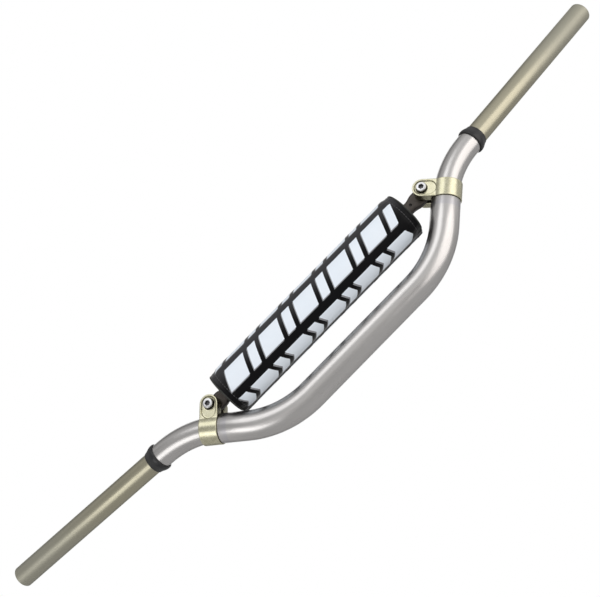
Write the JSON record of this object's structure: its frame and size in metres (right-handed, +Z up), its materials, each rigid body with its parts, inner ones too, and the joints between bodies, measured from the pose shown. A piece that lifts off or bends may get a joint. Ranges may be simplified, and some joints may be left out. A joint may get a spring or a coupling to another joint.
{
  "type": "motocross handlebar",
  "caption": "Braced motocross handlebar: tube-in-tube bar with swept grips, split clamps, flattened crossbar and a round foam pad.",
  "frame": {"origin": "centre of the straight middle of the bar, on the tube's axis", "axes": "+X along the bar to its right end as seen from the front, +Y towards the rider, +Z up in the plane of the risers"},
  "size_m": [0.8238, 0.0683, 0.1248],
  "materials": {
    "satin_silver": "satin, bead blasted and clear anodised",
    "olive_bronze": "satin bronze anodising",
    "black_collar": "smooth black",
    "champagne_gold": "fine cast, pale gold",
    "bright_screw": "bright zinc",
    "dark_crossbar": "dark grey-brown anodising",
    "grey_foam": "open foam",
    "black_vinyl": "glossy black vinyl with white print",
    "grey_tape": "hook and loop tape"
  },
  "bodies": {
    "root": {"outer_tube": "satin_silver", "inner_tube": "olive_bronze", "collar_left": "black_collar", "collar_right": "black_collar", "clamp_left": "champagne_gold", "clamp_right": "champagne_gold", "clamp_screw_left": "bright_screw", "clamp_screw_right": "bright_screw", "crossbar": "dark_crossbar", "pad_foam": "grey_foam", "pad_cover": "black_vinyl", "pad_end_left": "black_vinyl", "pad_end_right": "black_vinyl", "loop_tape": "grey_tape", "hook_tape": "grey_tape"}
  },
  "joints": []
}
